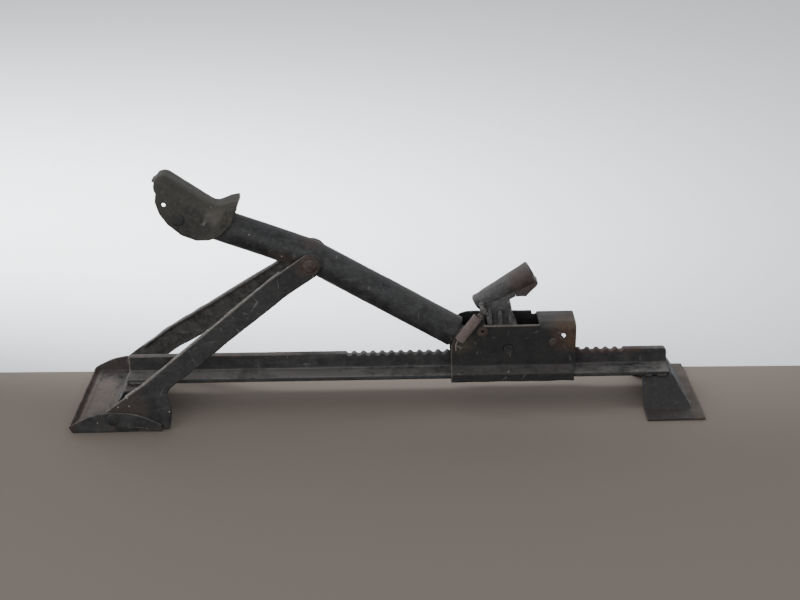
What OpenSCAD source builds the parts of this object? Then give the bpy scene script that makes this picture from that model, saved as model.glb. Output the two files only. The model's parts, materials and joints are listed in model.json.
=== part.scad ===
// Ratchet rail jack: a toothed rail on two pressed feet, a pair of legs, a bent tubular
// lift arm with a swivelling saddle, and a ratchet carriage with a socket for a handle bar.
// X runs along the rail, Y across it and Z is up. The origin is on the ground under the
// middle of the jack. The jack is drawn lowered, with the heels of the legs on their stop.

/* [Overall] */
// Length over both feet
overall_l = 652; // [648:1:656]
// Width over both feet
overall_w = 150; // [148:1:152]
// Thickness of the pressed sheet
sheet_t = 3; // [2.5:0.5:3]

/* [Rail] */
// Height of the underside of the rail above the ground
rail_z = 31.5; // [31.5:0.5:32]
// Length of the rail
rail_l = 567.8; // [560:0.1:568]
// Width of the rail's flange
flange_w = 53; // [52:0.5:53]
// Thickness of the rail's flange
flange_t = 5; // [4.5:0.1:5]
// Height of the toothed edge above the ground
rack_z = 53; // [52:0.5:53]
// Thickness of the toothed web
web_t = 8; // [6:1:8]
// Spacing of the notches
tooth_pitch = 9.84; // [9.8:0.01:9.9]
// Number of notches
notch_n = 30; // [20:1:30]
// Radius of a notch
notch_r = 3.4; // [3:0.2:3.6]
// Depth of a notch
notch_d = 2.6; // [2:0.2:3]

/* [Feet] */
// Height of the arched end flanges of the front foot
front_arch_z = 22; // [21:0.5:22]
// Length of the rear foot's footprint
rear_foot_l = 60; // [58:1:62]
// Height of the leg pivot above the ground
pivot_z = 14.5; // [14:0.5:15]
// Distance of the leg pivot from the front end
pivot_x = 45.6; // [45:0.1:46]

/* [Legs] */
// Length of a leg between its pivots
leg_l = 249.4; // [249:0.1:250]
// Angle of the legs above the ground, lowered
leg_deg = 35.2; // [35:0.1:35.4]
// Radius of the upper end of the near leg
leg_end_r = 12; // [11.5:0.5:12.5]
// Radius of the lower end of a leg round its pivot
leg_heel_r = 10; // [9:0.5:10]
// Radius of the bolt that joins the legs and the arm
leg_bolt_r = 6; // [5:0.5:6]

/* [Lift arm] */
// Outer radius of the tube
tube_r = 16.7; // [16.5:0.1:16.7]
// Wall of the tube
tube_wall = 3; // [2.5:0.5:3]
// Distance along the rail from the leg bolt to the saddle pin
upper_l = 131.2; // [130:0.1:132]
// Slope of the upper half of the arm
upper_deg = 20.8; // [20:0.2:22]
// Slope of the lower half of the arm
lower_deg = 30.6; // [30:0.2:31]
// Height of the tube's bend above the leg bolt
bend_up = 4; // [3.5:0.1:4]
// Length of the tube below its bend
lower_tube_l = 172; // [170:1:172]
// Radius of the saddle pin
saddle_pin_r = 5; // [4:0.5:5]

/* [Saddle] */
// Width of the saddle
saddle_w = 40.4; // [40.4:0.2:41]

/* [Carriage] */
// Distance of the carriage from the front end, lowered
carriage_x = 392.3; // [392:0.1:394]
// Length of the carriage
carriage_l = 130.6; // [130:0.2:132]
// Width inside the cheeks
carriage_in_w = 35; // [35:0.5:35.5]
// Height of the cheeks' top edge
cheek_z = 88.5; // [88:0.5:89]
// Height of the hood's crown
hood_z = 90; // [89.5:0.1:90.5]
// Width over the lips that wrap the rail's flange
lip_w = 61; // [61:0.5:62]

/* [Handle socket] */
// Slope of the socket
socket_deg = 30.2; // [29:0.2:31]
// Length of the socket
socket_l = 66; // [65:0.5:66]
// Outer radius at the closed end
socket_r1 = 8.5; // [8:0.5:9]
// Outer radius at the mouth
socket_r2 = 12.6; // [12:0.2:13]
// Radius of the bore for the handle bar
handle_bore_r = 6.75; // [6.5:0.05:7]
// Depth of the bore
handle_bore_l = 50; // [40:1:52]

/* [Return spring] */
// Outer radius of the coil
spring_r = 5.3; // [5:0.1:5.5]
// Thickness of the wire
spring_wire = 1.6; // [1.4:0.2:1.8]

/* [Hidden] */
$fn = 48;

// Running clearance on radius between a pin and the part that turns on it
run_gap = 0.06;
// Gap between parts that move past each other
side_gap = 0.5;
front_x = -overall_l / 2;
rear_x = overall_l / 2;
half_w = overall_w / 2;
rail_x0 = front_x + 52.7;
chair_half_w = 42;
rail_x1 = rail_x0 + rail_l;
flange_top = rail_z + flange_t;
first_notch_x = front_x + 286.2;

// Points in the XZ plane: the leg pivot P, the leg bolt T, the bend B of the tube's centre
// line, the saddle pin, which lies a little below that line, and the arm's foot S
P = [front_x + pivot_x, pivot_z];
T = P + leg_l * [cos(leg_deg), sin(leg_deg)];
B = T + [0, bend_up];
pin_drop = 3;
saddle_p = B + [-upper_l, upper_l * tan(upper_deg) - pin_drop];
S = [front_x + 419, 64];

cx0 = front_x + carriage_x;
cx1 = cx0 + carriage_l;
hood_x = cx0 + 91.7;
cheek_in = carriage_in_w / 2;
cheek_out = cheek_in + sheet_t;
rocker_p = [cx0 + 60.1, 61.6];
tie_p = [cx0 + 33.1, 82.3];
drive_p = rocker_p + [4.6, 18.4];
hold_p = [cx0 + 106.7, 68.8];
pawl_tip_z = rack_z + 1;
socket_p = [cx0 + 27.5, 106.5];
spring_y = -(cheek_out + side_gap + spring_r);
spring_top = socket_p + [5.3, 1];
spring_foot = [cx0 + 5.1, 70];
hook_hole = [spring_foot.x, 62.5];

// Distance of a leg from the middle plane, at its foot and at its top, to its outer face
leg_foot_y = half_w - sheet_t - side_gap;
leg_top_y = 20.6;
// Slope of the lower edge of a leg
leg_lower_deg = 34.2;
arch_end_x = front_x + 95;
// Shape of each leg: how far the centre of its upper end lies behind the bolt, the distance
// of the upper edge from that centre, the distance of the lower edge from the bolt, the notch
// above the heel, the start of the lower lip, where the leg's lean starts and ends along it,
// the height of the heel's rear corner, the slope of the upper edge, and the end's radius
near_form = [0, leg_end_r, leg_end_r + 1.8, [front_x + 102, 39], front_x + 105, 48, 205, 26, 35.6,
    leg_end_r];
far_form = [-0.6, leg_end_r + 3.2, leg_end_r + 4.6, [front_x + 74, 18.5], front_x + 79, 56, 211, 20,
    36.3, leg_end_r + 4.7];

// Extrudes an outline drawn in the XZ plane between two Y values
module slab(y0, y1) {
    translate([0, y1, 0])
        rotate([90, 0, 0])
            linear_extrude(y1 - y0)
                children();
}

// Cylinder along Y about a point of the XZ plane
module bar_y(p, r, y0, y1) {
    translate([p.x, y1, p.y])
        rotate([90, 0, 0])
            cylinder(r = r, h = y1 - y0);
}

// Extrudes an outline drawn in the YZ plane between two X values
module along_x(x0, x1) {
    translate([x0, 0, 0])
        rotate([90, 0, 90])
            linear_extrude(x1 - x0)
                children();
}

// Puts an outline or a solid drawn along X on a slope that starts at a point of the XZ plane
module on_slope(p, deg) {
    translate([p.x, 0, p.y])
        rotate([0, -deg, 0])
            children();
}

// The same part on the near and the far side
module both_sides() {
    children();
    mirror([0, 1, 0])
        children();
}

// Domed rivet head that stands on a face square to Y
module rivet_head(p, r, h, y, side) {
    translate([p.x, y, p.y])
        rotate([side * 90, 0, 0])
            rotate_extrude()
                polygon([[0, 0], [r, 0], [r, h * 0.4], [r * 0.75, h * 0.85], [r * 0.3, h], [0, h]]);
}

// Points of an arc in a plane
function arc(c, r, a0, a1, n) = [for (i = [0:n])
    let (a = a0 + (a1 - a0) * i / n) c + r * [cos(a), sin(a)]];

// ---- Base ----

// Floor plate with a turned-up front lip and a pressed bead, and an arched flange at each end
module front_foot() {
    arch_r = 84;
    arch_x = front_x + 48;
    plate_end_x = front_x + 68;
    shelf_w = 13;
    color("#4b4440") {
        slab(-half_w + sheet_t / 2, half_w - sheet_t / 2)
            polygon([[plate_end_x, 0], [plate_end_x, sheet_t], [front_x + 10.5, sheet_t],
                [front_x + 8.8, sheet_t + 1.1], [front_x + 7.2, sheet_t + 1.3],
                [front_x + 5.6, sheet_t + 0.9], [front_x + 4.6, sheet_t + 0.7],
                [front_x + 1.6, sheet_t + 4.8], [front_x + 0.4, sheet_t + 4.6],
                [front_x, sheet_t + 3.6], [front_x + 2.6, 0.6], [front_x + 3.8, 0]]);
        both_sides() {
            difference() {
                slab(-half_w, -half_w + sheet_t)
                    intersection() {
                        translate([arch_x, front_arch_z - arch_r])
                            circle(r = arch_r, $fn = 200);
                        polygon([[front_x + 3, 0], [front_x, 5], [front_x, front_arch_z + 1],
                            [arch_end_x, front_arch_z + 1], [arch_end_x, 0]]);
                    }
                bar_y(P, 4, -half_w - 1, -half_w + sheet_t + 1);
            }
            translate([plate_end_x - 1, -half_w + sheet_t / 2, 0])
                cube([arch_end_x - plate_end_x + 1, shelf_w, sheet_t]);
        }
    }
}

// Inverted T section with a notched upper edge
module rail() {
    corner = 4;
    color("#302f2e")
        union() {
            translate([rail_x0, -flange_w / 2, rail_z])
                cube([rail_l, flange_w, flange_t]);
            difference() {
                slab(-web_t / 2, web_t / 2)
                    polygon(concat([[rail_x0, flange_top - 1], [rail_x0, rack_z]],
                        arc([rail_x1 - corner, rack_z - corner], corner, 90, 0, 6),
                        [[rail_x1, flange_top - 1]]));
                for (i = [0:notch_n - 1])
                    bar_y([first_notch_x + i * tooth_pitch, rack_z + notch_r - notch_d],
                        notch_r, -web_t, web_t);
            }
        }
}

// Outline of the raised middle of the rear foot, seen along the rail, shrunk by a margin
module crown_section(m) {
    polygon([[-46.6 + m * 1.4, -1], [-46.6 + m * 1.4, sheet_t], [-27 + m * 0.6, rail_z - m],
        [27 - m * 0.6, rail_z - m], [46.6 - m * 1.4, sheet_t], [46.6 - m * 1.4, -1]]);
}

// Outline of the same shape seen from the side, open towards the front
module crown_side(m) {
    polygon([[rear_x - rear_foot_l - m, -1], [rear_x - rear_foot_l - m, rail_z - m],
        [rear_x - 27 - m * 0.6, rail_z - m], [rear_x - 10 - m * 1.3, sheet_t],
        [rear_x - 10 - m * 1.3, -1]]);
}

module crown(m) {
    intersection() {
        along_x(rear_x - rear_foot_l - m, rear_x)
            crown_section(m);
        slab(-half_w, half_w)
            crown_side(m);
    }
}

// Pressed stand with a raised crown under the rail and a flat rim on the ground
module rear_foot() {
    color("#2e2e2e")
        difference() {
            union() {
                translate([rear_x - rear_foot_l, -half_w + 5, 0])
                    cube([rear_foot_l, overall_w - 10, sheet_t]);
                crown(0);
            }
            crown(sheet_t);
            translate([rear_x - rear_foot_l - 1, -half_w - 1, -2])
                cube([rear_foot_l + 2, overall_w + 2, 2]);
        }
}

// Pressed strap that rises from the rear edge of the floor plate to carry the rail's end
module rail_chair() {
    seat_z = rail_z - sheet_t;
    toe_x = rail_x0 - 22;
    color("#453f3b")
        slab(-chair_half_w, chair_half_w)
            polygon([[toe_x, sheet_t], [toe_x, 2 * sheet_t], [toe_x + 7, 2 * sheet_t],
                [rail_x0 + 0.5, rail_z], [rail_x0 + 30, rail_z], [rail_x0 + 30, seat_z],
                [rail_x0 + 2.5, seat_z], [toe_x + 9, sheet_t]]);
}

// Bead of weld metal along X with an uneven, rippled surface
module weld_row(x0, x1, y, z, r) {
    step = r * 0.6;
    n = floor((x1 - x0) / step);
    translate([x0, y, z])
        rotate([0, 90, 0])
            rotate_extrude($fn = 24)
                polygon(concat([[0, 0]],
                    [for (i = [0:n])
                        [r * (0.9 + 0.1 * cos(i * 180) + 0.08 * sin(i * 137)), (i + 0.3) * step]],
                    [[0, (n + 0.8) * step]]));
}

// Welds of the chair to the floor plate and to the rail's flange
module front_weld_beads() {
    color("#5a4a40") {
        both_sides()
            weld_row(rail_x0 - 23, rail_x0 - 15, -chair_half_w - 0.6, sheet_t + 1.2, 2);
        both_sides()
            weld_row(rail_x0 + 4, rail_x0 + 28, -flange_w / 2 - 0.3, rail_z + 1.2, 2);
    }
}

// Welds of the rail's flange to the crown of the rear foot
module rear_weld_beads() {
    color("#4a423c")
        both_sides() {
            weld_row(rear_x - 58, rear_x - 50, -flange_w / 2 - 0.2, rail_z + 0.4, 2.2);
            weld_row(rear_x - 44, rear_x - 34, -flange_w / 2 - 0.2, rail_z + 0.4, 2.2);
        }
}

// Two rivets that the legs turn on, one through each arched flange
module leg_pivot_rivets() {
    inner_y = -leg_foot_y + sheet_t + side_gap;
    color("#3c3836")
        both_sides() {
            bar_y(P, 4, -half_w, inner_y);
            rivet_head(P, 6.5, 1.6, -half_w, 1);
            rivet_head(P, 6.5, 2, inner_y, -1);
        }
}

// ---- Legs ----

// Outline of a leg in the XZ plane. Its heel rests behind the arched flange
module leg_outline(form) {
    end_p = T + [form[0], 0];
    up = end_p + form[1] * [-sin(form[8]), cos(form[8])];
    low = T + form[2] * [sin(leg_lower_deg), -cos(leg_lower_deg)];
    notch = form[3];
    heel_x = front_x + 105;
    plate_gap = 3.4;
    ground_gap = 0.8;
    translate(end_p)
        circle(r = form[9]);
    translate(P)
        circle(r = leg_heel_r);
    polygon([up, [P.x - 6, up.y - (up.x - P.x + 6) * tan(form[8])],
        [P.x - leg_heel_r + 1.5, P.y + 4], [P.x - 4, P.y - 9], [P.x + 2, plate_gap],
        [arch_end_x + 1, plate_gap], [arch_end_x + 1, ground_gap],
        [heel_x - 2.4, ground_gap], [heel_x, 12], [heel_x + 0.6, form[7]], notch,
        [notch.x + 3, low.y - (low.x - notch.x - 3) * tan(leg_lower_deg)], low]);
}

// Line of the outer face of a leg seen from above its edge, moved in by a margin
function leg_line(form, m) = [[-30, -leg_foot_y + m], [form[5], -leg_foot_y + m],
    [form[6], -leg_top_y + m], [leg_l + 30, -leg_top_y + m]];

// Bent strip between two margins, in the leg's own frame
module leg_strip(form, m0, m1) {
    polygon(concat(leg_line(form, m0), [for (i = [3:-1:0]) leg_line(form, m1)[i]]));
}

// Turned-in lip along an edge of a leg. The edge has its own slope and its own distance from
// the given point, which is near the leg bolt
module leg_lip(form, p, deg, v0, v1, depth) {
    lip_start = 22;
    lip_end = leg_l - 31;
    on_slope(p, deg)
        translate([0, 0, v0])
            linear_extrude(v1 - v0)
                intersection() {
                    translate([-leg_l, 0])
                        leg_strip(form, sheet_t / 2, depth);
                    translate([-leg_l + lip_start, -half_w])
                        square([lip_end - lip_start, overall_w]);
                }
}

// Pressed channel that leans inwards from the foot to the lift arm
module leg(form) {
    lip_t = 2.6;
    difference() {
        union() {
            intersection() {
                on_slope(P, leg_deg)
                    translate([0, 0, -60])
                        linear_extrude(120)
                            leg_strip(form, 0, sheet_t);
                slab(-half_w, 0)
                    leg_outline(form);
            }
            leg_lip(form, T + [form[0], 0], form[8], form[1] - lip_t, form[1], 9);
            intersection() {
                leg_lip(form, T, leg_lower_deg, -form[2], -form[2] + lip_t, 8);
                translate([form[4], -half_w, 0])
                    cube([overall_l, half_w, overall_l]);
            }
        }
        bar_y(T, leg_bolt_r + 0.02, -half_w, 0);
        bar_y(P, 4 + run_gap, -half_w, 0);
    }
}

module near_leg() {
    color("#323130")
        leg(near_form);
}

module far_leg() {
    color("#3a3937")
        mirror([0, 1, 0])
            leg(far_form);
}

// Bolt through both legs and the sleeve of the arm, its head peened on the near side
module leg_bolt() {
    washer_y = leg_top_y + 2;
    color("#6b4c3c") {
        bar_y(T, leg_bolt_r, -washer_y, washer_y + 7);
        rivet_head(T, 7.4, 3.4, -washer_y, 1);
    }
}

// Hexagon nut on the far side
module leg_nut() {
    color("#6b4c3c")
        difference() {
            translate([T.x, leg_top_y + 2, T.y])
                rotate([-90, 0, 0])
                    cylinder(r = 10.4, h = 5, $fn = 6);
            bar_y(T, leg_bolt_r + 0.02, 0, half_w);
        }
}

// Flat washer under the head and under the nut
module leg_washers() {
    color("#5f463a")
        both_sides()
            difference() {
                bar_y(T, 10, -leg_top_y - 2, -leg_top_y);
                bar_y(T, leg_bolt_r + 0.02, -half_w, 0);
            }
}

// ---- Lift arm ----

// Solid bar about the bent centre line, with its ends moved out by a margin. The two halves
// run a little past the bend, so that they overlap all round
module arm_bar(r, m) {
    overlap = r * tan(lower_deg - upper_deg) * 0.8;
    end_l = 8;
    on_slope(B, -lower_deg)
        translate([-overlap, 0, 0])
            rotate([0, 90, 0])
                cylinder(r = r, h = lower_tube_l + overlap + m);
    on_slope(B, 180 - upper_deg)
        translate([-overlap, 0, 0])
            rotate([0, 90, 0])
                cylinder(r = r, h = upper_l / cos(upper_deg) + end_l + overlap + m);
}

// Tube of the lift arm, bent a little above the leg bolt and trimmed under the saddle
module arm_tube() {
    color("#323333")
        difference() {
            arm_bar(tube_r, 0);
            arm_bar(tube_r - tube_wall, 1);
            bar_y(T, leg_bolt_r + 2.5, -tube_r - 1, tube_r + 1);
            bar_y(saddle_p, saddle_pin_r, -tube_r - 1, tube_r + 1);
            slab(-tube_r - 1, tube_r + 1)
                translate(saddle_p)
                    polygon([[-9, -2], [4.5, -13.6], [4.5, -30], [-30, -30], [-30, 4], [-12, 0.6]]);
        }
}

// Spacer sleeve across the tube, which turns on the leg bolt
module arm_sleeve() {
    reach = leg_top_y - sheet_t - 0.3;
    color("#564a42")
        difference() {
            bar_y(T, leg_bolt_r + 2.5, -reach, reach);
            bar_y(T, leg_bolt_r + run_gap, -reach - 1, reach + 1);
        }
}

// Forged foot: a plug in the end of the tube and a flat eye that reaches the foot pin
module arm_foot() {
    plug_r = tube_r - tube_wall - 0.02;
    plug_l = 22;
    end = B + lower_tube_l * [cos(lower_deg), -sin(lower_deg)];
    neck = 7;
    dir = [cos(lower_deg), -sin(lower_deg)];
    side = [sin(lower_deg), cos(lower_deg)];
    color("#47413d")
        difference() {
            union() {
                on_slope(end, -lower_deg)
                    translate([-plug_l, 0, 0])
                        rotate([0, 90, 0])
                            cylinder(r = plug_r, h = plug_l);
                slab(-7, 7) {
                    polygon([end - 4 * dir + neck * side, S + 5 * dir + (neck + 2) * side,
                        S + 5 * dir - (neck + 2) * side, end - 4 * dir - neck * side]);
                    translate(S)
                        circle(r = 10);
                }
            }
            bar_y(S, 5, -8, 8);
        }
}

// Pin of the arm's foot, between the cheeks of the carriage
module arm_foot_pin() {
    reach = cheek_in - 1;
    color("#5a5048")
        bar_y(S, 5, -reach, reach);
}

// Rivet through the tube that the saddle swivels on
module saddle_pin() {
    head_y = saddle_w / 2 + 0.3;
    color("#3a3a38") {
        bar_y(saddle_p, saddle_pin_r, -head_y, head_y);
        rivet_head(saddle_p, 6.8, 1.8, -head_y, 1);
        rivet_head(saddle_p, 6.8, 1.8, head_y, -1);
    }
}

// ---- Saddle ----

// Stations along the saddle's roof, from its front edge over the hump and down to the horn. Each
// has a point on the crest, the point where the rounded shoulder meets the cheek, and the
// shoulder's width, all measured from the saddle pin
saddle_stations = [[[-22.6, 29], [-20.5, 29], 4], [[-23.2, 34], [-19.5, 32.6], 4.5],
    [[-22.8, 39.4], [-17.6, 34.8], 6.5], [[-19.8, 43.1], [-15.2, 35.4], 9],
    [[-14.4, 44.8], [-12.6, 34.6], 11], [[-9.4, 43.9], [-10, 32.4], 12],
    [[-5, 41], [-6.6, 29], 12], [[26, 19], [19.2, 7.9], 12], [[31.6, 15.3], [27, 4], 12],
    [[36, 12.7], [33.6, 1.6], 11], [[40, 12], [40.6, 1.8], 9.5], [[46, 13.6], [48, 5], 7.5],
    [[52.4, 15.8], [54.2, 8.2], 5.5], [[61, 16.7], [60.4, 11], 4]];

// Ring of points round one station, for a sheet inset by a margin, with its open edges
// carried on past the cheek by some length
function saddle_ring(crest, foot, shoulder, m, w, run) = let (
    l = norm(foot - crest),
    dir = (foot - crest) / l,
    top = crest + m * dir,
    half = [for (a = [90:-22.5:0]) let (c = saddle_p + top + (l - m) * (1 - cos(a)) * dir)
        [c.x, (w - m) - (shoulder - m) * (1 - sin(a)), c.y]],
    edge = saddle_p + foot + run * dir)
    concat([[edge.x, m - w, edge.y]], [for (v = half) [v.x, -v.y, v.z]],
        [for (i = [len(half) - 1:-1:0]) half[i]], [[edge.x, w - m, edge.y]]);

// Closed solid through rings of equal length
module loft(rings) {
    n = len(rings[0]);
    last = (len(rings) - 1) * n;
    polyhedron(points = [for (ring = rings) each ring],
        faces = concat([[for (k = [n - 1:-1:0]) k]], [[for (k = [0:n - 1]) last + k]],
            [for (i = [0:len(rings) - 2], k = [0:n - 1]) let (a = i * n + k, b = i * n + (k + 1) % n)
                each [[a, b, a + n], [b, b + n, a + n]]]));
}

// Side outline of a cheek below the shoulder
module saddle_cheek_outline() {
    translate(saddle_p)
        polygon(concat([for (v = saddle_stations) v[1]], [[57.8, 4], [54.6, -4], [49.4, -12],
            [40.8, -19], [29.6, -23], [17.2, -23.4], [2, -16.8], [-11.2, -5.6], [-18.6, 6],
            [-22.2, 19]]));
}

// Pressed cradle: two cheeks under one roof, with a horn at the back that stops on the tube
module saddle() {
    q = saddle_p;
    w = saddle_w / 2;
    in_w = w - sheet_t;
    eye = q + [-13.3, 16];
    color("#313130")
        difference() {
            union() {
                difference() {
                    loft([for (v = saddle_stations) saddle_ring(v[0], v[1], v[2], 0, w, 2)]);
                    loft(concat([saddle_ring([-22.6, 25], [-20.5, 25], 4, sheet_t, w, 4)],
                        [for (v = saddle_stations)
                            saddle_ring(v[0], v[1], v[2], sheet_t, w, 4)],
                        [saddle_ring([64, 17], [63.4, 11.3], 4, sheet_t, w, 4)]));
                }
                both_sides()
                    slab(-w, -in_w)
                        saddle_cheek_outline();
                slab(-8, 8)
                    translate(q)
                        polygon([[-23, 39.8], [-26.4, 37.8], [-26, 36.2], [-22.6, 35.8], [-21, 37.4]]);
                intersection() {
                    slab(-w + 1, w - 1)
                        translate(q)
                            polygon([[59, 14.6], [52, 13.8], [48, 9], [50.6, -4], [54, -2], [56.4, 5]]);
                    difference() {
                        translate([q.x + 40, -w, q.y - 30])
                            cube([30, 2 * w, 60]);
                        on_slope(B, 180 - upper_deg)
                            rotate([0, 90, 0])
                                cylinder(r = tube_r + 0.3, h = upper_l);
                    }
                }
            }
            bar_y(q, saddle_pin_r + run_gap, -w - 1, w + 1);
            bar_y(eye, 2.1, -w - 1, w + 1);
        }
}

// ---- Carriage ----

// Outline of a cheek up to the hood, with a low front corner. The near one has a lug
module cheek_outline(near) {
    side_z = hood_z - 8;
    polygon(concat([[cx0, 44], [cx0, 65.5], [cx0 + 2.2, 72.5], [cx0 + 5.2, 79.5]],
        near ? [[cx0 + 8.5, 84], [cx0 + 13, 87], [cx0 + 21, 88.5], [cx0 + 25.5, 92.5],
            [cx0 + 29, 96.4], [cx0 + 33, 97], [cx0 + 35.3, 95], [cx0 + 36.3, cheek_z],
            [hood_x + 1, cheek_z], [hood_x + 1, side_z]]
            : [[cx0 + 7.5, 84.5], [cx0 + 11, 88], [cx0 + 18, cheek_z + 1.3], [hood_x - 4.5, cheek_z + 0.8],
            [hood_x - 4.5, side_z + 3], [hood_x + 0.5, side_z + 3], [hood_x + 0.5, side_z]],
        [[cx1, side_z], [cx1, 44]]));
}

// Cross-section of the hood over the cheeks, between the given heights
module hood_section(m) {
    r = 7.5 - m;
    y = cheek_out - m;
    polygon(concat([[-y, 43], [-y, hood_z - 7.5]], arc([-y + r, hood_z - 7.5], r, 180, 90, 8),
        arc([y - r, hood_z - 7.5], r, 90, 0, 8), [[y, 43]]));
}

// Cross-section of the skirt that wraps the rail's flange on the near side
module skirt_section() {
    t = 2;
    e = lip_w / 2;
    foot = rail_z - 0.8;
    polygon([[-cheek_out, 47], [-cheek_out, 43.4], [-cheek_out - 1.5, 42.4], [-e + 0.8, 38.6], [-e, 37.4],
        [-e, foot - t], [-e + 10, foot - t], [-e + 10, foot], [-e + t, foot], [-e + t, 36.8],
        [-cheek_in - 1.5, 40.6], [-cheek_in, 41.8], [-cheek_in, 47]]);
}

// Folded sheet housing that slides on the rail
module carriage_shell() {
    near_hole = [cx0 + 116.6, 75.6];
    far_hole = [cx0 + 122.2, 59.4];
    color("#262626")
        difference() {
            union() {
                slab(-cheek_out, -cheek_in)
                    cheek_outline(true);
                slab(cheek_in, cheek_out)
                    cheek_outline(false);
                difference() {
                    along_x(hood_x, cx1)
                        hood_section(0);
                    along_x(hood_x - 1, cx1 + 1)
                        hood_section(sheet_t);
                }
                both_sides()
                    along_x(cx0, cx1 - 2)
                        skirt_section();
            }
            bar_y(rocker_p, 5, -half_w, half_w);
            bar_y(tie_p, 3.5, -half_w, half_w);
            bar_y(hold_p, 3.5, -half_w, half_w);
            bar_y(hook_hole, 1.6, -half_w, 0);
            bar_y(near_hole, 3, -half_w, 0);
            bar_y(far_hole, 3, 0, half_w);
        }
}

// Rivet that ties the cheeks together, with a hollow end on the near side
module tie_rivet() {
    color("#6a4a34")
        difference() {
            union() {
                bar_y(tie_p, 3.5, -cheek_out - 1.6, cheek_out + 1);
                bar_y(tie_p, 5.6, -cheek_out - 1.2, -cheek_out);
                rivet_head(tie_p, 5.6, 2, cheek_out, -1);
            }
            bar_y(tie_p, 1.4, -cheek_out - 3, -cheek_out + 6);
        }
}

// Tube that keeps the cheeks apart on the tie rivet
module tie_spacer() {
    color("#4a4440")
        difference() {
            bar_y(tie_p, 4.5, -cheek_in, cheek_in);
            bar_y(tie_p, 3.52, -cheek_in - 1, cheek_in + 1);
        }
}

// Shouldered pin of the rocker with turned-down ends
module rocker_pin() {
    reach = cheek_out + 1.2;
    color("#3a3a3a")
        difference() {
            bar_y(rocker_p, 5, -reach, reach);
            bar_y(rocker_p, 3.2, -reach - 1, -reach + 0.9);
            bar_y(rocker_p, 3.2, reach - 0.9, reach + 1);
        }
}

// Pin of the holding pawl
module holding_pawl_pin() {
    color("#6a3a34") {
        bar_y(hold_p, 3.5, -cheek_out - 0.8, cheek_out + 0.8);
        rivet_head(hold_p, 5, 1.4, -cheek_out, 1);
        rivet_head(hold_p, 5, 1.4, cheek_out, -1);
    }
}

// Hooked end of the spring, which turns into the hole at the corner of the near cheek
module spring_hook() {
    bend_r = 3.4;
    drop = spring_foot.y - hook_hole.y - bend_r;
    color("#6b5c52")
        translate([hook_hole.x, spring_y, hook_hole.y]) {
            translate([0, 0, bend_r])
                cylinder(r = spring_wire / 2, h = drop);
            translate([0, bend_r, bend_r])
                rotate([0, 90, 0])
                    rotate([0, 0, -90])
                        rotate_extrude(angle = 90)
                            translate([bend_r, 0])
                                circle(r = spring_wire / 2);
            translate([0, bend_r, 0])
                rotate([-90, 0, 0])
                    cylinder(r = spring_wire / 2, h = -spring_y - bend_r - cheek_in + 0.6);
        }
}

// Tension spring along the near side, drawn as close coils
module return_spring() {
    run = spring_top - spring_foot;
    deg = atan2(run.y, run.x);
    span = norm(run);
    eye_l = 7;
    n = floor((span - 2 * eye_l) / spring_wire);
    coil_l = n * spring_wire;
    start = (span - coil_l) / 2;
    wire_r = spring_wire / 2;
    mean_r = spring_r - wire_r;
    groove_r = spring_r - 0.5;
    peg_loop_r = 2.1 + wire_r;
    upper_end_l = span - start - coil_l - peg_loop_r + 0.6;
    color("#6e6360") {
        translate([spring_top.x, spring_y, spring_top.y])
            rotate([90, 0, 0])
                rotate_extrude()
                    translate([peg_loop_r, 0])
                        circle(r = wire_r);
        translate([0, spring_y, 0])
            on_slope(spring_foot, deg)
                rotate([0, 90, 0]) {
                    translate([0, 0, start])
                        rotate_extrude()
                            polygon(concat([[mean_r - wire_r, 0]],
                                [for (i = [0:n - 1])
                                    each [[groove_r, i * spring_wire],
                                        [spring_r, (i + 0.3) * spring_wire],
                                        [spring_r, (i + 0.7) * spring_wire]]],
                                [[groove_r, coil_l], [mean_r - wire_r, coil_l]]));
                    translate([0, 0, start + coil_l - 0.5])
                        cylinder(r1 = mean_r + wire_r * 0.8, r2 = wire_r * 1.2, h = upper_end_l);
                    translate([0, 0, 3.5])
                        cylinder(r1 = wire_r * 1.4, r2 = mean_r + wire_r * 0.8, h = start - 3);
                }
    }
}

// ---- Rocker ----

// Points along the axis of the handle socket
function on_socket(u, v) = socket_p + u * [cos(socket_deg), sin(socket_deg)]
    + v * [-sin(socket_deg), cos(socket_deg)];

// Side outline of the web between the socket and the cheeks
module stem_outline() {
    polygon(concat([on_socket(6, 0), [cx0 + 34.4, 100], [cx0 + 37.6, cheek_z], [cx0 + 48, 70],
            [cx0 + 72, 70], [cx0 + 70.4, 80], [cx0 + 66.9, cheek_z], [cx0 + 63.4, 95]],
        arc([cx0 + 69.8, 105], 10.4, 232, 100, 8), [on_socket(46, 0)]));
}

// Side outline of the lug under the mouth of the socket
module lug_outline() {
    polygon([on_socket(46.1, 0), [cx0 + 68.1, 115.3], [cx0 + 78.6, 115.5],
        on_socket(socket_l - 2.5, -socket_r2 - 1.4), on_socket(socket_l + 0.8, -socket_r2 + 0.8),
        on_socket(socket_l + 0.5, -socket_r2 + 3.4), on_socket(socket_l - 0.6, -socket_r2 + 3.8),
        on_socket(socket_l - 0.6, 0)]);
}

// Cone of the socket, grown by a margin
module socket_cone(m) {
    on_slope(socket_p, socket_deg)
        rotate([0, 90, 0]) {
            cylinder(r1 = socket_r1 + m, r2 = socket_r2 + m, h = socket_l);
            translate([0, 0, -1.5])
                cylinder(r1 = socket_r1 - 2 + m, r2 = socket_r1 + m, h = 1.5);
        }
}

// Socket for the handle bar, with a lug under its mouth
module handle_socket() {
    color("#504e4e")
        difference() {
            union() {
                socket_cone(0);
                slab(-8.6, 8.6)
                    lug_outline();
            }
            on_slope(on_socket(socket_l - handle_bore_l, 0), socket_deg)
                rotate([0, 90, 0])
                    cylinder(r = handle_bore_r, h = handle_bore_l + 1);
        }
}

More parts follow.
